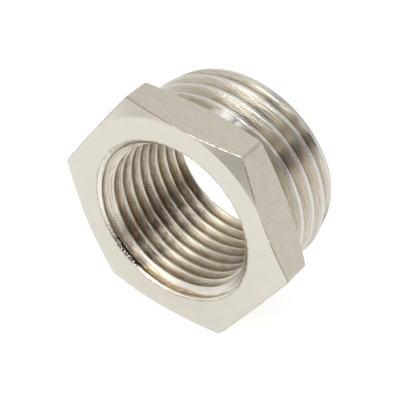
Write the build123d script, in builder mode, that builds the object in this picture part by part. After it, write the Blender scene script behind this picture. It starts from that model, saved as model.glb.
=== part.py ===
from build123d import *
import math
import os

# Hex bushing of nickel-plated brass.
# A flat hexagon carries a parallel male pipe thread behind it, and a smaller
# parallel female pipe thread runs right through both.
# The origin is on the screw axis, in the plane of the shoulder behind the
# hexagon. The male thread points along +Y, and one flat faces straight down.

# Hexagon
ACROSS_FLATS = 22.0
HEX_THICKNESS = 4.0
HEX_CORNER_RADIUS = 0.4
CHAMFER_INSET = 0.1
CHAMFER_ANGLE = 17.4

# Pipe thread form: flanks 55 degrees apart, flat crests, and grooves that
# close in below their waist, where the real root is rounded
FLANK_ANGLE = 27.5
DEPTH_PER_PITCH = 0.640327
CREST_FLAT_PER_PITCH = 1 / 6
WAIST_PER_DEPTH = 1 / 2

# Male thread, size 1/2
MALE_LENGTH = 8.2
MALE_CREST_RADIUS = 10.4
MALE_PITCH = 1.814
MALE_CREST_BEHIND_SHOULDER = 2.345
LEAD_ANGLE = 15.0
LEAD_DROP = 0.59

# Relief groove between the hexagon and the male thread
RELIEF_LENGTH = 1.0
RELIEF_BELOW_ROOT = 0.14

# Female thread, size 3/8
FEMALE_CREST_RADIUS = 7.475
FEMALE_PITCH = 1.337
FEMALE_CREST_BEHIND_FRONT = 0.614
COUNTERSINK_DEPTH = 1.085
REAR_CHAMFER = 0.455

# How far cutting shapes reach past the faces that they cut
CLEARANCE = 1.0
GROOVE_OVERCUT = 0.15
RIDGE_OVERLAP = 0.1

# Each turn of a crest is drawn as several faces, so that none wraps the axis
CREST_PLANES = 4
FIRST_PLANE_ANGLE = 5.0

# Half section through the screw axis: x is the radius, y runs along the axis
half_section = Plane.XY
screw_axis = Axis.Y
front = -HEX_THICKNESS
end = MALE_LENGTH

flank_slope = math.tan(math.radians(FLANK_ANGLE))
male_depth = DEPTH_PER_PITCH * MALE_PITCH
female_depth = DEPTH_PER_PITCH * FEMALE_PITCH
male_root_radius = MALE_CREST_RADIUS - male_depth
relief_radius = male_root_radius - RELIEF_BELOW_ROOT
nose_radius = MALE_CREST_RADIUS - LEAD_DROP
lead_reach = (LEAD_DROP + CLEARANCE) / math.tan(math.radians(LEAD_ANGLE))
outside = MALE_CREST_RADIUS + CLEARANCE

# The male thread starts as a plain rod that is longer than the part both ways
groove_start = MALE_CREST_BEHIND_SHOULDER - 4.5 * MALE_PITCH
groove_turns = math.ceil((end - groove_start) / MALE_PITCH) + 1

with BuildPart() as male_thread:
    with BuildSketch(half_section):
        with BuildLine():
            rod_start = groove_start - 2 * MALE_PITCH
            rod_end = groove_start + (groove_turns + 2) * MALE_PITCH
            Polyline(
                (0, rod_start),
                (MALE_CREST_RADIUS, rod_start),
                (MALE_CREST_RADIUS, rod_end),
                (0, rod_end),
                close=True,
            )
        make_face()
    revolve(axis=screw_axis)

    # Helical groove that leaves the crest standing
    with BuildLine():
        groove_path = Helix(
            pitch=MALE_PITCH,
            height=groove_turns * MALE_PITCH,
            radius=male_root_radius,
            center=(0, groove_start, 0),
            direction=(0, 1, 0),
        )
    with BuildSketch(half_section):
        with BuildLine():
            crest_edge = (1 - CREST_FLAT_PER_PITCH) * MALE_PITCH / 2
            mouth_half = crest_edge + GROOVE_OVERCUT * flank_slope
            waist_half = crest_edge - male_depth * WAIST_PER_DEPTH * flank_slope
            waist_radius = MALE_CREST_RADIUS - male_depth * WAIST_PER_DEPTH
            mouth_radius = MALE_CREST_RADIUS + GROOVE_OVERCUT
            Polyline(
                (male_root_radius, groove_start),
                (waist_radius, groove_start - waist_half),
                (mouth_radius, groove_start - mouth_half),
                (mouth_radius, groove_start + mouth_half),
                (waist_radius, groove_start + waist_half),
                close=True,
            )
        make_face()
    sweep(path=groove_path, is_frenet=True, mode=Mode.SUBTRACT)

    # Cut to length, with a slim lead cone at the free end
    with BuildSketch(half_section):
        with BuildLine():
            inside_hexagon = front / 2
            Polyline(
                (0, inside_hexagon),
                (outside, inside_hexagon),
                (outside, end - lead_reach),
                (nose_radius, end),
                (0, end),
                close=True,
            )
        make_face()
    revolve(axis=screw_axis, mode=Mode.INTERSECT)

    # Relief groove behind the hexagon, its far wall as steep as a flank
    with BuildSketch(half_section):
        with BuildLine():
            wall_reach = (outside - relief_radius) * flank_slope
            Polyline(
                (relief_radius, inside_hexagon - CLEARANCE),
                (outside, inside_hexagon - CLEARANCE),
                (outside, RELIEF_LENGTH + wall_reach),
                (relief_radius, RELIEF_LENGTH),
                close=True,
            )
        make_face()
    revolve(axis=screw_axis, mode=Mode.SUBTRACT)

with BuildPart() as hexagon:
    with BuildSketch(Plane(origin=(0, front, 0), x_dir=(1, 0, 0), z_dir=(0, 1, 0))) as outline:
        RegularPolygon(radius=ACROSS_FLATS / 2, side_count=6, major_radius=False)
        fillet(outline.vertices(), radius=HEX_CORNER_RADIUS)
    extrude(amount=HEX_THICKNESS)

    # Both faces are turned down at the corners
    with BuildSketch(half_section):
        with BuildLine():
            face_radius = ACROSS_FLATS / 2 - CHAMFER_INSET
            past_corner = ACROSS_FLATS / math.sqrt(3) + CLEARANCE
            drop = (past_corner - face_radius) * math.tan(math.radians(CHAMFER_ANGLE))
            Polyline(
                (0, front),
                (face_radius, front),
                (past_corner, front + drop),
                (past_corner, -drop),
                (face_radius, 0),
                (0, 0),
                close=True,
            )
        make_face()
    revolve(axis=screw_axis, mode=Mode.INTERSECT)

# The female thread is cut by a plug of its own form: a core with a ridge
ridge_start = front + FEMALE_CREST_BEHIND_FRONT - 3.5 * FEMALE_PITCH
ridge_turns = math.ceil((end - ridge_start) / FEMALE_PITCH) + 2

with BuildPart() as female_plug:
    with BuildSketch(half_section):
        with BuildLine():
            core_start = ridge_start - 2 * FEMALE_PITCH
            core_end = ridge_start + (ridge_turns + 2) * FEMALE_PITCH
            Polyline(
                (0, core_start),
                (FEMALE_CREST_RADIUS, core_start),
                (FEMALE_CREST_RADIUS, core_end),
                (0, core_end),
                close=True,
            )
        make_face()
    revolve(axis=screw_axis)

    with BuildLine():
        ridge_path = Helix(
            pitch=FEMALE_PITCH,
            height=ridge_turns * FEMALE_PITCH,
            radius=FEMALE_CREST_RADIUS,
            center=(0, ridge_start, 0),
            direction=(0, 1, 0),
        )
    with BuildSketch(half_section):
        with BuildLine():
            crest_edge = (1 - CREST_FLAT_PER_PITCH) * FEMALE_PITCH / 2
            base_half = crest_edge + RIDGE_OVERLAP * flank_slope
            waist_half = crest_edge - female_depth * WAIST_PER_DEPTH * flank_slope
            base_radius = FEMALE_CREST_RADIUS - RIDGE_OVERLAP
            waist_radius = FEMALE_CREST_RADIUS + female_depth * WAIST_PER_DEPTH
            Polyline(
                (base_radius, ridge_start - base_half),
                (waist_radius, ridge_start - waist_half),
                (FEMALE_CREST_RADIUS + female_depth, ridge_start),
                (waist_radius, ridge_start + waist_half),
                (base_radius, ridge_start + base_half),
                close=True,
            )
        make_face()
    sweep(path=ridge_path, is_frenet=True)

    # Countersink at the front of the hexagon and chamfer at the far end
    with BuildSketch(half_section):
        with BuildLine():
            front_radius = FEMALE_CREST_RADIUS + COUNTERSINK_DEPTH
            Polyline(
                (0, front - CLEARANCE),
                (front_radius + CLEARANCE, front - CLEARANCE),
                (0, front + front_radius),
                close=True,
            )
        make_face()
        with BuildLine():
            end_radius = FEMALE_CREST_RADIUS + REAR_CHAMFER
            Polyline(
                (0, end + CLEARANCE),
                (end_radius + CLEARANCE, end + CLEARANCE),
                (0, end - end_radius),
                close=True,
            )
        make_face()
    revolve(axis=screw_axis)

    # The plug ends just outside both faces
    with BuildSketch(half_section):
        with BuildLine():
            Polyline(
                (0, front - CLEARANCE / 2),
                (outside, front - CLEARANCE / 2),
                (outside, end + CLEARANCE / 2),
                (0, end + CLEARANCE / 2),
                close=True,
            )
        make_face()
    revolve(axis=screw_axis, mode=Mode.INTERSECT)

with BuildPart() as body:
    add(male_thread.part)
    add(hexagon.part)
    add(female_plug.part, mode=Mode.SUBTRACT)

# The crests and the cones are divided into faces that each cover part of a
# turn. The form stays as it is: only the borders between its faces change.
crest_radii = (MALE_CREST_RADIUS, FEMALE_CREST_RADIUS)
crests = ShapeList(
    face
    for face in body.faces().filter_by(GeomType.CYLINDER)
    if any(math.isclose(face.radius, radius, abs_tol=1e-3) for radius in crest_radii)
)
wrapping = crests + body.faces().filter_by(GeomType.CONE)
plain = [face for face in body.faces() if face not in wrapping]
for step in range(CREST_PLANES):
    turn = FIRST_PLANE_ANGLE + step * 180 / CREST_PLANES
    cut = half_section.rotated((0, turn, 0))
    wrapping = [piece for face in wrapping for piece in face.split(cut, keep=Keep.ALL).faces()]

with BuildPart() as hex_bushing:
    add(Solid(Shell(plain + wrapping)), clean=False)

hex_bushing.part.label = "hex_bushing"

os.makedirs("parts", exist_ok=True)
export_step(hex_bushing.part, "parts/hex_bushing.step")
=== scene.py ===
import math

import bpy
from mathutils import Matrix, Vector


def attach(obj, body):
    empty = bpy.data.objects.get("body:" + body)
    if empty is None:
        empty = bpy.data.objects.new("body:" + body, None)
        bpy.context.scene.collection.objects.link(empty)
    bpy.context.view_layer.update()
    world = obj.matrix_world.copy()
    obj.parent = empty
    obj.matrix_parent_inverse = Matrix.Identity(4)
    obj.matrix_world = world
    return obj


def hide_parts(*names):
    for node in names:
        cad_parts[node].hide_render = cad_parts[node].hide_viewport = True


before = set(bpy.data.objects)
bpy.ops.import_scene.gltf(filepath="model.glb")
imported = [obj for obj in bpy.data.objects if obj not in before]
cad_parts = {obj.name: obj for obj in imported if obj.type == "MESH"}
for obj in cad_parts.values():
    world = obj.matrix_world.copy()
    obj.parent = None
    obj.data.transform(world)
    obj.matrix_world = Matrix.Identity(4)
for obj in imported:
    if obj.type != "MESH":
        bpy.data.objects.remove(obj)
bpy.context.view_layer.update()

MM = 0.001

# Sizes in millimetres. The screw axis is Y, and y = 0 is the shoulder
FRONT = -4.0
END = 8.2
FLAT = 11.0
CORNER_RADIUS = 0.4
FACE_RADIUS = 10.9
CHAMFER_SLOPE = math.tan(math.radians(17.4))
NECK_RADIUS = 9.1
NECK_END = 1.0
NOSE_RADIUS = 9.81
LEAD_SLOPE = math.tan(math.radians(15.0))
COUNTERSINK_RADIUS = 8.56
REAR_RADIUS = 7.93
FLANK_SLOPE = 1 / math.tan(math.radians(27.5))
THREAD_DEPTH = 0.640327
CREST_ROUNDING = 0.02
ROOT_ROUNDING = 0.16

# Rounded edges and fillets
LIP_EDGE = 0.05
FACE_EDGE = 0.25
SIDE_EDGE = 0.13
NECK_FILLET = 0.12

# A rounded corner has 5 points on its arc and one beyond each end
ARC_STEPS = 4
CORNER_POINTS = ARC_STEPS + 3

# The lump where the cut of the male thread runs out, and how steeply it falls away on each side
LUMP_ANGLE = math.radians(-81)
LUMP_RADIUS = 10.25
LUMP_START = 0.8
LUMP_END = 1.75
LUMP_HALF_TOP = 0.05
LUMP_SIDE_FALL = 26
LUMP_START_FALL = 1.6
LUMP_END_FALL = 1.5

# Each thread has a crest "at" this height where the angle is 0, and a line of painted shade from a set
# distance behind a crest
MALE = {"pitch": 1.814, "crest": 10.4, "at": 2.345, "clean": 0.13}
FEMALE = {"pitch": 1.337, "crest": 7.475, "at": FRONT + 0.614, "clean": 0.03}

# Where the rows of a thread lie in one pitch, closer together at its edges
MALE_ROWS = (0, 0.05, 0.075, 0.085, 0.10, 0.17, 0.26, 0.34, 0.40, 0.45)
FEMALE_ROWS = (0, 0.055, 0.078, 0.088, 0.11, 0.18, 0.27, 0.36, 0.43)

# Heights between which the rows follow the threads
MALE_SPAN = (0.14, END - 0.09)
FEMALE_SPAN = (FRONT + 0.05, END - 0.06)

# The rounded end of the male thread: steps in from each rim, and down from the end face
RIM_STEPS = ((0.01, 0.05), (0.04, 0.015), (0.09, 0), (0.12, 0))
BORE_STEPS = ((0.10, 0), (0.07, 0), (0.025, 0.02))


def soft_min(a, b, width):
    """The smaller value, with a rounded change from one to the other."""
    h = max(width - abs(a - b), 0.0) / width
    return min(a, b) - h * h * width / 4


def soft_max(a, b, width):
    """The larger value, with a rounded change from one to the other."""
    return -soft_min(-a, -b, width)


def step(value, low, high):
    """0 below low, 1 above high."""
    return min(max((value - low) / (high - low), 0.0), 1.0)


def rise(thread, angle, y):
    """Height above the root of a 55 degree pipe thread, and its share of the depth.

    The share falls to nearly 0 just behind each crest, in a line of painted shade.
    """
    pitch = thread["pitch"]
    turn = (y - thread["at"]) / pitch - angle / (2 * math.pi)
    off = (turn - round(turn)) * pitch
    depth = THREAD_DEPTH * pitch
    flank = depth - (abs(off) - pitch / 12) * FLANK_SLOPE
    up = soft_max(soft_min(flank, depth, CREST_ROUNDING), 0.0, ROOT_ROUNDING)
    behind = off - thread["clean"]
    # A line of painted shade just behind each crest
    shade_line = step(behind, 0.0, 0.06) * (1 - step(behind, 0.08, 0.17))
    return up, up / depth * (1 - 0.9 * shade_line)


def male_surface(angle, y):
    """Outside radius behind the hexagon, and how far up the thread, which sets the painted shade and
    highlight: 1 is a crest without the painted shade line, and above 1 the lump's painted highlight.
    """
    up, share = rise(MALE, angle, y)
    thread = MALE["crest"] - THREAD_DEPTH * MALE["pitch"] + up
    relief = NECK_RADIUS + max(0.0, y - NECK_END) * FLANK_SLOPE
    lead = NOSE_RADIUS + (END - y) * LEAD_SLOPE
    radius = soft_min(soft_min(thread, lead, 0.05), relief, 0.08)
    # The neck, where the relief cuts the thread away, gets a low height and so nearly the root colour,
    # painted shade
    neck_shade_edge_wear_and_highlight = step(thread - relief, 0.0, 0.12)
    height = max(share, step(thread - lead, 0.0, 0.12)) * (1 - neck_shade_edge_wear_and_highlight) + 0.1 * neck_shade_edge_wear_and_highlight

    # The cut runs out here and leaves a lump that fills the groove beside the first crest, with a
    # height above 1 for its painted highlight
    aside = (angle - LUMP_ANGLE + math.pi) % (2 * math.pi) - math.pi
    lump = LUMP_RADIUS - LUMP_SIDE_FALL * max(0.0, abs(aside) - LUMP_HALF_TOP) ** 2
    lump -= LUMP_END_FALL * max(0.0, y - LUMP_END)
    lump -= LUMP_START_FALL * max(0.0, LUMP_START - y)
    lump_highlight = step(lump - radius, -0.1, 0.2) * step(y, 0.5, 0.9)
    return soft_max(radius, lump, 0.35), max(height, 1.2 * lump_highlight)


def female_surface(angle, y):
    """Inside radius of the bore, and how far up the thread, which sets the painted shade and highlight:
    1 is a crest without the painted shade line.
    """
    up, share = rise(FEMALE, angle, y)
    thread = FEMALE["crest"] + THREAD_DEPTH * FEMALE["pitch"] - up
    countersink = COUNTERSINK_RADIUS - (y - FRONT)
    rear = REAR_RADIUS - (END - y)
    radius = soft_max(soft_max(thread, countersink, 0.015), rear, 0.02)
    return radius, max(share, step(max(countersink, rear) - thread, 0.0, 0.12))


def hexagon_radius(angle):
    """Distance from the axis to the hexagon's outline, its corners rounded."""
    half_side = math.pi / 6
    from_corner = (angle + half_side) % (2 * half_side) - half_side
    centre = (FLAT - CORNER_RADIUS) / math.cos(half_side)
    touch = math.atan2(CORNER_RADIUS / 2, centre + CORNER_RADIUS * math.cos(half_side))
    if abs(from_corner) < touch:
        across = centre * math.sin(from_corner)
        return centre * math.cos(from_corner) + math.sqrt(CORNER_RADIUS ** 2 - across ** 2)
    return FLAT / math.cos(half_side - abs(from_corner))


def columns():
    """Angles round the axis: even steps, and closer ones at the six corners."""
    count = 222
    near = [math.radians(a) for a in (-1.1, -0.91, -0.6, -0.3, 0, 0.3, 0.6, 0.91, 1.1)]
    clear_of_corner = math.radians(1.6)
    corners = [k * math.pi / 3 for k in range(6)]
    angles = [c + n for c in corners for n in near]
    for k in range(count):
        angle = k * 2 * math.pi / count
        gap = min(abs((angle - c + math.pi) % (2 * math.pi) - math.pi) for c in corners)
        if gap > clear_of_corner:
            angles.append(angle)
    return sorted(a % (2 * math.pi) for a in angles)


def rounded(before, corner, after, radius):
    """Points of an arc in place of a corner, with one more beyond each end."""
    a = Vector(before) - Vector(corner)
    b = Vector(after) - Vector(corner)
    half = a.angle(b) / 2
    most = 0.42
    reach = min(radius / math.tan(half), most * a.length, most * b.length)
    radius = reach * math.tan(half)
    a.normalize()
    b.normalize()
    centre = Vector(corner) + (a + b).normalized() * (radius / math.sin(half))
    start = Vector(corner) + a * reach - centre
    finish = Vector(corner) + b * reach - centre
    span = start.angle(finish)
    beyond = 1.15
    points = [Vector(corner) + a * reach * beyond]
    for k in range(ARC_STEPS + 1):
        t = k / ARC_STEPS
        arc = (math.sin((1 - t) * span) * start + math.sin(t * span) * finish) / math.sin(span)
        points.append(centre + arc)
    points.append(Vector(corner) + b * reach * beyond)
    return points


def hexagon_profile(angle):
    """Radius and height of the outline from the countersink round to the neck."""
    out = hexagon_radius(angle)
    drop = (out - FACE_RADIUS) * CHAMFER_SLOPE
    corners = [
        (COUNTERSINK_RADIUS - 0.5, FRONT + 0.5, 0),
        (COUNTERSINK_RADIUS, FRONT, LIP_EDGE),
        (FACE_RADIUS, FRONT, FACE_EDGE),
        (out, FRONT + drop, SIDE_EDGE),
        (out, -drop, SIDE_EDGE),
        (FACE_RADIUS, 0, FACE_EDGE),
        (NECK_RADIUS, 0, NECK_FILLET),
        (NECK_RADIUS, NECK_END, 0),
    ]
    points = []
    for k in range(1, len(corners) - 1):
        points += rounded(corners[k - 1][:2], corners[k][:2], corners[k + 1][:2], corners[k][2])
    return points


def thread_rows(thread, phases, low, high):
    """Heights at angle 0 of rows that follow the helix from below low to above high."""
    pitch = thread["pitch"]
    turns = sorted(set(phases) | {0.5} | {1 - p for p in phases if p > 0})
    first = math.floor((low - thread["at"]) / pitch) - 1
    count = math.ceil((high - low) / pitch) + 3
    rows = [thread["at"] + pitch * (first + k + t) for k in range(count) for t in turns]
    return rows, len(turns)


class Skin:
    """Points and faces of the part, with the values that its materials read at each point."""

    def __init__(self):
        self.vertices, self.faces, self.finishes = [], [], []
        self.zones = {"thread_height": [], "hexagon_side": [], "edge": []}

    def vertex(self, angle, radius, y, height=1.0, side=0.0, edge=0.0):
        self.vertices.append((radius * math.cos(angle), y, -radius * math.sin(angle)))
        self.zones["thread_height"].append(height)
        self.zones["hexagon_side"].append(side)
        self.zones["edge"].append(edge)
        return len(self.vertices) - 1

    def hexagon_column(self, angle):
        """From the countersink over the front face, the side and the shoulder to the neck."""
        # The third corner of the profile is the edge between the front chamfer and the side
        front_edge = range(2 * CORNER_POINTS + 1, 3 * CORNER_POINTS - 1)
        side_from = hexagon_radius(angle) - 0.02
        column = []
        for k, (radius, y) in enumerate(hexagon_profile(angle)):
            side = 1.0 if radius > side_from else 0.0
            edge = 1.0 if k in front_edge else 0.0
            column.append(self.vertex(angle, radius, y, 1.0, side, edge))
        return column

    def thread_column(self, angle, thread, rows, span, surface):
        """One vertex per row; rows beyond an end share the vertex at that end."""
        low, high = span
        ends = {}
        column = []
        for row in rows:
            y = min(max(row + thread["pitch"] * angle / (2 * math.pi), low), high)
            radius, height = surface(angle, y)
            if y in span:
                if y not in ends:
                    ends[y] = self.vertex(angle, radius, y, height)
                column.append(ends[y])
            else:
                column.append(self.vertex(angle, radius, y, height))
        return column

    def end_column(self, angle):
        """Across the end face, from the male thread in to the bore."""
        rim = male_surface(angle, MALE_SPAN[1])[0]
        bore = female_surface(angle, FEMALE_SPAN[1])[0]
        places = [(rim - across, END - down) for across, down in RIM_STEPS]
        places += [(bore + across, END - down) for across, down in BORE_STEPS]
        return [self.vertex(angle, radius, y) for radius, y in places]

    def band(self, left, right, finish):
        """Faces between two columns, with three corners where a column repeats a vertex."""
        for k in range(len(left) - 1):
            ring = []
            for index in (left[k], right[k], right[k + 1], left[k + 1]):
                if index not in ring:
                    ring.append(index)
            if len(ring) > 2:
                self.faces.append(ring)
                self.finishes.append(finish)

    def mesh(self, name, materials):
        mesh = bpy.data.meshes.new(name)
        mesh.from_pydata([tuple(c * MM for c in v) for v in self.vertices], [], self.faces)
        for zone, values in self.zones.items():
            mesh.attributes.new(zone, "FLOAT", "POINT").data.foreach_set("value", values)
        mesh.polygons.foreach_set("use_smooth", [True] * len(self.faces))
        for material in materials:
            mesh.materials.append(material)
        mesh.polygons.foreach_set("material_index", self.finishes)
        return mesh


def build_bushing():
    """The whole part as one closed skin, between columns of points that run round its profile."""
    skin = Skin()
    male_rows, male_turn = thread_rows(MALE, MALE_ROWS, *MALE_SPAN)
    female_rows, female_turn = thread_rows(FEMALE, FEMALE_ROWS, *FEMALE_SPAN)
    shells = []
    for angle in columns():
        hexagon = skin.hexagon_column(angle)
        male = skin.thread_column(angle, MALE, male_rows, MALE_SPAN, male_surface)
        female = skin.thread_column(angle, FEMALE, female_rows, FEMALE_SPAN, female_surface)
        end = skin.end_column(angle)
        shells.append((hexagon, male, end, female))

    # The helix has climbed one pitch on its way back to the first column
    hexagon, male, end, female = shells[0]
    male = male[male_turn:] + [male[-1]] * male_turn
    female = female[female_turn:] + [female[-1]] * female_turn
    shells.append((hexagon, male, end, female))

    hexagon_finish, thread_finish = 0, 1
    for left, right in zip(shells, shells[1:]):
        hexagon, male, end, female = left
        next_hexagon, next_male, next_end, next_female = right
        front = [female[0]] + hexagon + [male[0]]
        next_front = [next_female[0]] + next_hexagon + [next_male[0]]
        rear = [male[-1]] + end + [female[-1]]
        next_rear = [next_male[-1]] + next_end + [next_female[-1]]
        skin.band(front, next_front, hexagon_finish)
        skin.band(male, next_male, thread_finish)
        skin.band(rear, next_rear, thread_finish)
        skin.band(female[::-1], next_female[::-1], thread_finish)

    mesh = skin.mesh("bushing_skin", [nickel_hexagon(), nickel_thread()])
    bushing = bpy.data.objects.new("bushing_skin", mesh)
    bpy.context.collection.objects.link(bushing)
    return bushing


class Shader:
    """Short calls for building a node tree."""

    def __init__(self, tree):
        self.tree = tree

    def node(self, kind, **inputs):
        made = self.tree.nodes.new(kind)
        for name, value in inputs.items():
            self.put(made.inputs[name.replace("_", " ")], value)
        return made

    def put(self, socket, value):
        if isinstance(value, bpy.types.NodeSocket):
            self.tree.links.new(value, socket)
        else:
            socket.default_value = value

    def maths(self, operation, *values):
        made = self.tree.nodes.new("ShaderNodeMath")
        made.operation = operation
        for socket, value in zip(made.inputs, values):
            self.put(socket, value)
        return made.outputs[0]

    def line(self, value, slope, start):
        """Slope times the value, plus the start."""
        return self.maths("MULTIPLY_ADD", value, slope, start)

    def both(self, *masks):
        """Product of two or more masks."""
        product = masks[0]
        for mask in masks[1:]:
            product = self.maths("MULTIPLY", product, mask)
        return product

    def either(self, a, b):
        """The larger of two masks."""
        return self.maths("MAXIMUM", a, b)

    def distance(self, value, middle):
        return self.maths("ABSOLUTE", self.maths("ADD", value, -middle))

    def ramp(self, value, low, high):
        """0 at low, 1 at high, and flat beyond them; low may be the larger one."""
        made = self.tree.nodes.new("ShaderNodeMapRange")
        self.put(made.inputs["Value"], value)
        self.put(made.inputs["From Min"], low)
        self.put(made.inputs["From Max"], high)
        return made.outputs[0]

    def facing(self, vector, direction, low, high):
        """0 to 1 as a unit vector turns to a direction, by the cosine between them."""
        made = self.tree.nodes.new("ShaderNodeVectorMath")
        made.operation = "DOT_PRODUCT"
        self.put(made.inputs[0], vector)
        made.inputs[1].default_value = direction
        return self.ramp(made.outputs["Value"], low, high)

    def mix(self, factor, a, b):
        made = self.tree.nodes.new("ShaderNodeMix")
        made.data_type = "RGBA"
        self.put(made.inputs[0], factor)
        self.put(made.inputs[6], a)
        self.put(made.inputs[7], b)
        return made.outputs[2]

    def attribute(self, name):
        made = self.tree.nodes.new("ShaderNodeAttribute")
        made.attribute_name = name
        return made.outputs["Fac"]

    def vector(self, operation, *values):
        made = self.tree.nodes.new("ShaderNodeVectorMath")
        made.operation = operation
        for socket, value in zip(made.inputs, values):
            self.put(socket, value)
        return made.outputs["Vector"]

    def vector_length(self, value):
        made = self.tree.nodes.new("ShaderNodeVectorMath")
        made.operation = "LENGTH"
        self.put(made.inputs[0], value)
        return made.outputs["Value"]

    def part(self, value, axis):
        return self.node("ShaderNodeSeparateXYZ", Vector=value).outputs[axis]

    def noise(self, vector, scale, detail=2.0):
        made = self.tree.nodes.new("ShaderNodeTexNoise")
        self.put(made.inputs["Vector"], vector)
        made.inputs["Scale"].default_value = scale
        made.inputs["Detail"].default_value = detail
        return made.outputs[0]


def new_metal(name):
    """A metal material, short calls for its nodes, and its surface node."""
    material = bpy.data.materials.new(name)
    material.use_nodes = True
    surface = material.node_tree.nodes["Principled BSDF"]
    surface.inputs["Metallic"].default_value = 1.0
    return material, Shader(material.node_tree), surface


def nickel_hexagon():
    """Smooth where it is faced, with a leathery grain on the six sides."""
    faced_light = (0.785, 0.758, 0.690, 1)
    faced_dark = (0.758, 0.730, 0.660, 1)
    drawn_dark = (0.678, 0.645, 0.575, 1)
    drawn_light = (0.775, 0.741, 0.671, 1)
    rim_brown = (0.42, 0.33, 0.20, 1)
    edge_brown = (0.50, 0.43, 0.33, 1)
    edge_painted_highlight = (0.88, 0.84, 0.75, 1)

    material, s, surface = new_metal("nickel_hexagon")
    place = s.node("ShaderNodeTexCoord").outputs["Object"]
    side = s.attribute("hexagon_side")
    edge = s.attribute("edge")
    grain = s.noise(place, 5200, 3)
    cloud = s.noise(place, 900, 3)

    faced = s.mix(s.ramp(cloud, 0.3, 0.7), faced_light, faced_dark)
    leather = s.line(cloud, 0.3, s.maths("MULTIPLY", grain, 0.7))
    drawn = s.mix(s.ramp(leather, 0.38, 0.62), drawn_dark, drawn_light)
    tone = s.mix(side, faced, drawn)

    # Brown specks round the rim of the countersink
    radial = s.node("ShaderNodeCombineXYZ", X=s.part(place, "X"), Z=s.part(place, "Z"))
    from_rim = s.distance(s.vector_length(radial.outputs[0]), (COUNTERSINK_RADIUS + 0.04) * MM)
    rim = s.both(s.ramp(from_rim, 0.00016, 0.00004), s.ramp(grain, 0.42, 0.62))
    tone = s.mix(s.maths("MULTIPLY", rim, 0.8), tone, rim_brown)

    # The front edges of the sides are brown with wear, with a painted highlight in beads at the right
    # of the top one
    at_right = s.ramp(s.part(place, "X"), 0.0004, 0.0026)
    at_top = s.ramp(s.part(place, "Z"), 0.0098, 0.0104)
    highlight_beads = s.ramp(s.noise(place, 2200, 2), 0.40, 0.54)
    neck_shade_edge_wear_and_highlight = s.mix(s.both(at_right, highlight_beads, at_top), edge_brown, edge_painted_highlight)
    tone = s.mix(s.both(edge, s.ramp(cloud, 0.40, 0.50)), tone, neck_shade_edge_wear_and_highlight)
    s.put(surface.inputs["Base Color"], tone)

    rough = s.line(grain, 0.02, 0.26)
    s.put(surface.inputs["Roughness"], s.line(side, 0.20, rough))

    fine = s.node("ShaderNodeBump", Strength=0.01, Distance=0.00002, Height=grain)
    lumps = s.node("ShaderNodeBump", Distance=0.00004, Height=cloud, Normal=fine.outputs[0])
    s.put(lumps.inputs["Strength"], s.maths("MULTIPLY", side, 0.6))
    s.put(surface.inputs["Normal"], lumps.outputs[0])
    return material


# Directions from the axis to the marks on the threads
BORE_PAINTED_SHADE = (-0.53, 0.0, -0.85)
BORE_SMOOTH = (-0.42, 0.0, -0.906)
BORE_BOTTOM = (0.17, 0.0, -0.985)
LIP_TORN = (-0.56, 0.0, -0.83)
LIP_RAGGED = (-0.35, 0.0, -0.937)
LIP_STAINED = (-0.87, 0.0, -0.49)
LAST_CREST_DIRTY = (0.87, 0.0, -0.49)

# Ridges of chatter in one turn of the bore, and their slant in radians per metre of its length
CHATTER_COUNT = 178.0
CHATTER_SLANT = 17000.0


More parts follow.
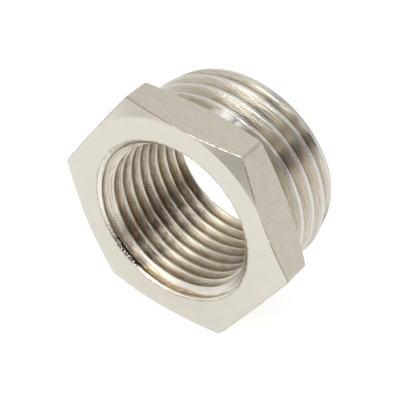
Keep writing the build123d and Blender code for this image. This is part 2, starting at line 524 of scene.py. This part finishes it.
def nickel_thread():
    """Crests brighter as painted highlight and roots browner and darker as painted shade, with marks
    that run along and across the threads.
    """
    brown = (0.38, 0.28, 0.14, 1)
    brown_violet = (0.32, 0.235, 0.165, 1)
    brown_painted_light = (0.56, 0.47, 0.325, 1)
    brown_painted_shade = (0.20, 0.145, 0.115, 1)
    male_root_shade = (0.48, 0.41, 0.30, 1)
    male_flank = (0.735, 0.692, 0.602, 1)
    male_crest_highlight = (0.80, 0.80, 0.775, 1)
    bore_flank = (0.91, 0.84, 0.70, 1)
    bore_clean = (0.86, 0.82, 0.73, 1)
    bore_crest_highlight = (0.98, 0.955, 0.89, 1)
    lip_stain = (0.45, 0.38, 0.28, 1)
    lump_painted_highlight = (0.99, 0.98, 0.95, 1)
    dirt_black = (0.05, 0.04, 0.035, 1)

    material, s, surface = new_metal("nickel_thread")
    place = s.node("ShaderNodeTexCoord").outputs["Object"]
    height = s.attribute("thread_height")

    # Places round the axis, for marks that run along or across the thread
    split = s.node("ShaderNodeSeparateXYZ", Vector=place)
    along_axis = split.outputs["Y"]
    radial = s.node("ShaderNodeCombineXYZ", X=split.outputs["X"], Z=split.outputs["Z"])
    radius = s.vector_length(radial.outputs[0])
    around = s.vector("NORMALIZE", radial.outputs[0])
    turn = s.maths("ARCTAN2", split.outputs["X"], split.outputs["Z"])

    # The bore and its countersink lie within 8.6 mm of the axis, and the male thread beyond 8.8 mm
    outside = s.ramp(radius, 0.0086, 0.0088)
    inside = s.maths("SUBTRACT", 1.0, outside)

    # Streaks run round the axis, so their noise hardly changes with the turn
    streak_place = s.node(
        "ShaderNodeCombineXYZ",
        X=s.maths("MULTIPLY", s.part(around, "X"), 0.001),
        Y=along_axis,
        Z=s.line(s.part(around, "Z"), 0.001, radius),
    )
    grain = s.noise(place, 5200, 3)
    cloud = s.noise(place, 900, 3)
    drift = s.noise(place, 350, 2)
    scraps = s.noise(place, 9000, 2)
    strokes = s.noise(place, 6200, 2)
    streak = s.noise(streak_place.outputs[0], 7000, 4)

    # Chatter of the tap: fine slanted ridges on the bore's thread, but for a smooth stretch
    slant = s.line(turn, CHATTER_COUNT, s.maths("MULTIPLY", along_axis, CHATTER_SLANT))
    ridges = s.line(s.maths("SINE", s.line(drift, 30.0, slant)), 0.5, 0.5)
    chatter = s.both(
        ridges,
        s.ramp(cloud, 0.25, 0.65),
        inside,
        s.facing(around, BORE_SMOOTH, 0.97, 0.87),
        s.ramp(along_axis, -0.0042, -0.0020),
    )

    # The lip of the countersink is torn and stained, worst where the tap ran in
    front = s.both(s.ramp(along_axis, -0.0022, -0.0032), inside)
    lip = s.both(s.ramp(along_axis, -0.00325, -0.00345), inside)
    torn = s.both(
        s.ramp(along_axis, -0.00345, -0.00355),
        inside,
        s.facing(around, LIP_TORN, 0.968, 0.982),
        s.ramp(strokes, 0.44, 0.50),
    )
    stain = s.both(lip, s.facing(around, LIP_STAINED, 0.80, 0.95), s.ramp(strokes, 0.50, 0.56))

    # Dark specks on the last crest of the male thread
    specks = s.both(
        s.ramp(along_axis, 0.0071, 0.0073),
        s.ramp(along_axis, 0.0080, 0.0078),
        s.ramp(radius, 0.00955, 0.00965),
        s.facing(around, LAST_CREST_DIRTY, 0.85, 0.95),
        s.ramp(scraps, 0.48, 0.54),
    )

    # Circles left by the tool that cut the countersink, one of them deeper, near the lip
    across_band = s.maths("SUBTRACT", radius, along_axis)
    rings = s.noise(s.node("ShaderNodeCombineXYZ", X=across_band).outputs[0], 2300, 2)
    cut = s.ramp(s.distance(across_band, 0.01205), 0.00012, 0.00005)
    rings = s.both(s.either(s.ramp(rings, 0.50, 0.60), cut), front)
    scratches = s.both(s.ramp(streak, 0.51, 0.63), s.line(inside, 0.15, 0.40))
    scratches = s.either(scratches, s.maths("MULTIPLY", rings, 0.8))

    # Root colour: brown in the bore, darker than the flanks as painted shade in the roots, paler at its
    # bottom as painted light, and darker in one patch as painted shade
    at_bottom = s.facing(around, BORE_BOTTOM, 0.85, 0.97)
    # Painted light: the roots paler at the bottom of the bore
    painted_light_bottom = s.both(at_bottom, s.ramp(along_axis, -0.0027, -0.0019))
    dark = s.both(s.facing(around, BORE_PAINTED_SHADE, 0.955, 0.985), s.ramp(cloud, 0.40, 0.55))
    bore_root_shade = s.mix(s.ramp(drift, 0.4, 0.65), brown, brown_violet)
    bore_root_shade = s.mix(painted_light_bottom, bore_root_shade, brown_painted_light)
    bore_root_shade = s.mix(dark, bore_root_shade, brown_painted_shade)
    root = s.mix(outside, bore_root_shade, male_root_shade)

    # In the band behind the lip, but for its lowest part, the roots get little of the painted shade and
    # the flanks a greyer colour
    clean = s.both(front, s.ramp(s.part(around, "Z"), -0.8, -0.45))
    flank = s.mix(outside, s.mix(clean, bore_flank, bore_clean), male_flank)
    crest = s.mix(outside, bore_crest_highlight, male_crest_highlight)
    # Painted shade: towards the roots the colour turns to the root colour
    root_shade = s.ramp(height, s.line(inside, 0.19, 0.45), s.maths("MULTIPLY", inside, 0.12))
    root_shade = s.both(root_shade, s.line(clean, -0.9, 1.0))

    tone = s.mix(root_shade, flank, root)
    tone = s.mix(s.maths("MULTIPLY", chatter, 0.85), tone, root)
    tone = s.mix(scratches, tone, root)
    # More painted shade in the dark patch of the bore
    tone = s.mix(s.both(dark, s.maths("MULTIPLY", inside, 0.6)), tone, root)
    tone = s.mix(s.both(s.ramp(streak, 0.47, 0.38), s.line(outside, 0.15, 0.35)), tone, crest)
    tone = s.mix(stain, tone, lip_stain)
    # Painted highlight: the crests in the crest colour
    tone = s.mix(s.ramp(height, 0.8, 0.97), tone, crest)
    # Painted highlight: the lump beside the first male crest near white
    tone = s.mix(s.ramp(height, 1.0, 1.15), tone, lump_painted_highlight)
    tone = s.mix(s.either(torn, specks), tone, dirt_black)
    s.put(surface.inputs["Base Color"], tone)

    # Turned metal reflects in bands along the axis
    surface.inputs["Anisotropic"].default_value = 1.0
    surface.inputs["Anisotropic Rotation"].default_value = 0.25
    tangent = s.tree.nodes.new("ShaderNodeTangent")
    tangent.direction_type = "RADIAL"
    tangent.axis = "Y"
    s.put(surface.inputs["Tangent"], tangent.outputs[0])
    rough = s.line(grain, 0.10, 0.17)
    rough = s.line(inside, 0.07, rough)
    s.put(surface.inputs["Roughness"], s.line(lip, -0.16, rough))

    # The lip is rough, so is a stretch of the band behind it, and the male crests are nicked
    ragged = s.both(front, s.facing(around, LIP_RAGGED, 0.90, 0.97))
    ragged = s.either(s.maths("MULTIPLY", lip, 0.6), ragged)
    nicked = s.both(
        outside,
        s.ramp(height, 0.75, 0.95),
        s.ramp(height, 1.1, 1.02),
        s.ramp(along_axis, 0.0019, 0.0022),
        0.45,
    )
    fine = s.node("ShaderNodeBump", Strength=0.15, Distance=0.00002, Height=grain)
    burr = s.node("ShaderNodeBump", Distance=0.00008, Height=strokes, Normal=fine.outputs[0])
    s.put(burr.inputs["Strength"], s.either(ragged, nicked))
    across = s.node("ShaderNodeBump", Strength=0.3, Distance=0.00002, Height=chatter)
    s.put(across.inputs["Normal"], burr.outputs[0])
    along = s.node("ShaderNodeBump", Strength=0.8, Distance=0.00006, Height=streak)
    s.put(along.inputs["Normal"], across.outputs[0])
    s.put(surface.inputs["Normal"], along.outputs[0])
    return material


def white_floor():
    """Paper that glows enough to look white, a little less so in the metal than by itself."""
    paper_grey = (0.72, 0.72, 0.72, 1)
    glow_seen = 0.70
    glow_in_metal = 0.44

    material = bpy.data.materials.new("floor_white")
    material.use_nodes = True
    tree = material.node_tree
    tree.nodes.remove(tree.nodes["Principled BSDF"])
    s = Shader(tree)
    paper = s.node("ShaderNodeBsdfDiffuse", Color=paper_grey)
    path = s.node("ShaderNodeLightPath")
    strength = s.maths("MULTIPLY", path.outputs["Is Camera Ray"], glow_seen)
    strength = s.line(path.outputs["Is Glossy Ray"], glow_in_metal, strength)
    glow = s.node("ShaderNodeEmission", Strength=strength)
    glowing_paper = tree.nodes.new("ShaderNodeAddShader")
    tree.links.new(paper.outputs[0], glowing_paper.inputs[0])
    tree.links.new(glow.outputs[0], glowing_paper.inputs[1])
    tree.links.new(glowing_paper.outputs[0], tree.nodes["Material Output"].inputs["Surface"])
    return material


def build_floor():
    """A sheet of white paper whose front edge is a little in front of the part."""
    left, right, front, back = -0.5, 1.0, -0.055, 1.0
    z = -FLAT * MM
    mesh = bpy.data.meshes.new("floor")
    corners = [(left, front, z), (right, front, z), (right, back, z), (left, back, z)]
    mesh.from_pydata(corners, [], [(0, 1, 2, 3)])
    floor = bpy.data.objects.new("floor", mesh)
    bpy.context.collection.objects.link(floor)
    floor.data.materials.append(white_floor())


# Brightness of the studio round the Y axis, in degrees from straight up towards +X
STUDIO = (
    (-180, 0.32), (-140, 0.38), (-110, 0.60), (-90, 0.76), (-36, 0.74), (-22, 0.67), (-12, 0.58),
    (0, 0.27), (14, 0.34), (21, 0.68), (28, 0.60), (34, 0.42), (39, 0.36), (44, 1.00), (47, 1.00),
    (52, 0.26), (58, 0.16), (66, 0.13), (80, 0.95), (98, 0.94), (120, 0.96), (150, 0.84), (180, 0.40),
)

# Brightness of what stands in front of the part, in degrees from straight ahead towards +X
AHEAD = (
    (-60, 0.80), (-33, 0.80), (-30, 1.10), (-28, 3.60), (-21, 3.60), (-18, 0.95), (-13, 0.30),
    (-8, 0.10), (-5, 0.10), (-1, 1.00), (2, 1.00), (5, 0.14), (12, 0.16), (22, 0.30), (60, 0.50),
)

# How far what stands ahead leans towards +X as it rises, in radians
AHEAD_LEAN = 0.3


def shades(s, turn, levels):
    """Grey by angle, a little warmer where it is dark."""
    made = s.node("ShaderNodeValToRGB", Fac=s.line(turn, 0.5 / math.pi, 0.5))
    made.color_ramp.interpolation = "EASE"
    stops = made.color_ramp.elements
    while len(stops) > 1:
        stops.remove(stops[-1])
    for k, (degrees, level) in enumerate(levels):
        stop = stops[0] if k == 0 else stops.new(degrees / 360 + 0.5)
        stop.position = degrees / 360 + 0.5
        warm = min(level, 1.0)
        stop.color = (level, level * (0.92 + 0.06 * warm), level * (0.82 + 0.13 * warm), 1)
    return made.outputs["Color"]


def build_world():
    """White to the camera, and a studio of light and dark bands to the metal."""
    world = bpy.data.worlds.new("studio")
    bpy.context.scene.world = world
    world.use_nodes = True
    tree = world.node_tree
    s = Shader(tree)
    background = tree.nodes["Background"]
    place = s.node("ShaderNodeTexCoord").outputs["Generated"]
    split = s.node("ShaderNodeSeparateXYZ", Vector=place)
    x, y, z = split.outputs["X"], split.outputs["Y"], split.outputs["Z"]
    round_axis = shades(s, s.maths("ARCTAN2", x, z), STUDIO)
    aside = s.maths("ARCTAN2", x, s.maths("MULTIPLY", y, -1.0))
    ahead = shades(s, s.line(z, -AHEAD_LEAN, aside), AHEAD)
    above_table = s.ramp(z, -0.12, -0.02)
    below_lamps = s.ramp(z, 0.75, 0.60)
    front = s.both(above_table, below_lamps, s.facing(place, (0.0, -1.0, 0.0), 0.55, 0.72))
    sky = s.mix(front, round_axis, ahead)
    path = s.node("ShaderNodeLightPath")
    colour = s.mix(path.outputs["Is Camera Ray"], sky, (1, 1, 1, 1))
    s.put(background.inputs["Color"], colour)
    background.inputs["Strength"].default_value = 1.0


def add_lamp(name, place, turn, width, length, shape, brightness):
    """A lamp of an even brightness, whatever its size."""
    data = bpy.data.lights.new(name, "AREA")
    data.shape = shape
    data.size = width
    data.size_y = length
    area = width * length * (1.0 if shape == "RECTANGLE" else math.pi / 4)
    data.energy = brightness * math.pi * area
    lamp = bpy.data.objects.new(name, data)
    lamp.matrix_world = Matrix.Translation(place) @ turn.to_4x4()
    bpy.context.collection.objects.link(lamp)


def add_strip(name, degrees, height, width, length, brightness):
    """A long soft lamp over the part, parallel to its axis, turned from straight up towards +X."""
    turn = Matrix.Rotation(math.radians(degrees), 3, "Y")
    add_lamp(name, turn @ Vector((0, 0, height)), turn, width, length, "RECTANGLE", brightness)


def add_spot(name, direction, distance, width, brightness):
    """A round lamp that faces the origin."""
    place = Vector(direction).normalized() * distance
    turn = place.to_track_quat("Z", "Y").to_matrix()
    add_lamp(name, place, turn, width, width, "ELLIPSE", brightness)


# Where the photograph was taken from, and the directions to its right and its top
CAMERA_PLACE = Vector((57.377, -93.614, 97.042))
CAMERA_RIGHT = Vector((0.8096, 0.5807, 0.0857))
CAMERA_UP = Vector((-0.4392, 0.5024, 0.7448))
LENS_LENGTH = 141.3


def build_camera():
    data = bpy.data.cameras.new("camera")
    data.sensor_width = 36.0
    data.lens = LENS_LENGTH
    data.clip_start = 0.01
    camera = bpy.data.objects.new("camera", data)
    back = CAMERA_RIGHT.cross(CAMERA_UP).normalized()
    up = back.cross(CAMERA_RIGHT).normalized()
    turn = Matrix((CAMERA_RIGHT.normalized(), up, back)).transposed().to_4x4()
    camera.matrix_world = Matrix.Translation(CAMERA_PLACE * MM) @ turn
    bpy.context.collection.objects.link(camera)
    bpy.context.scene.camera = camera


skin = build_bushing()
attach(skin, "root")
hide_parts("hex_bushing")

build_floor()
build_world()
add_strip("key", degrees=-12, height=0.13, width=0.040, length=0.30, brightness=0.52)
add_strip("fill", degrees=27, height=0.13, width=0.020, length=0.30, brightness=0.56)
add_spot("front", direction=(0.05, -0.75, 0.65), distance=0.13, width=0.05, brightness=3.5)
build_camera()
bpy.context.scene.view_settings.view_transform = "Standard"
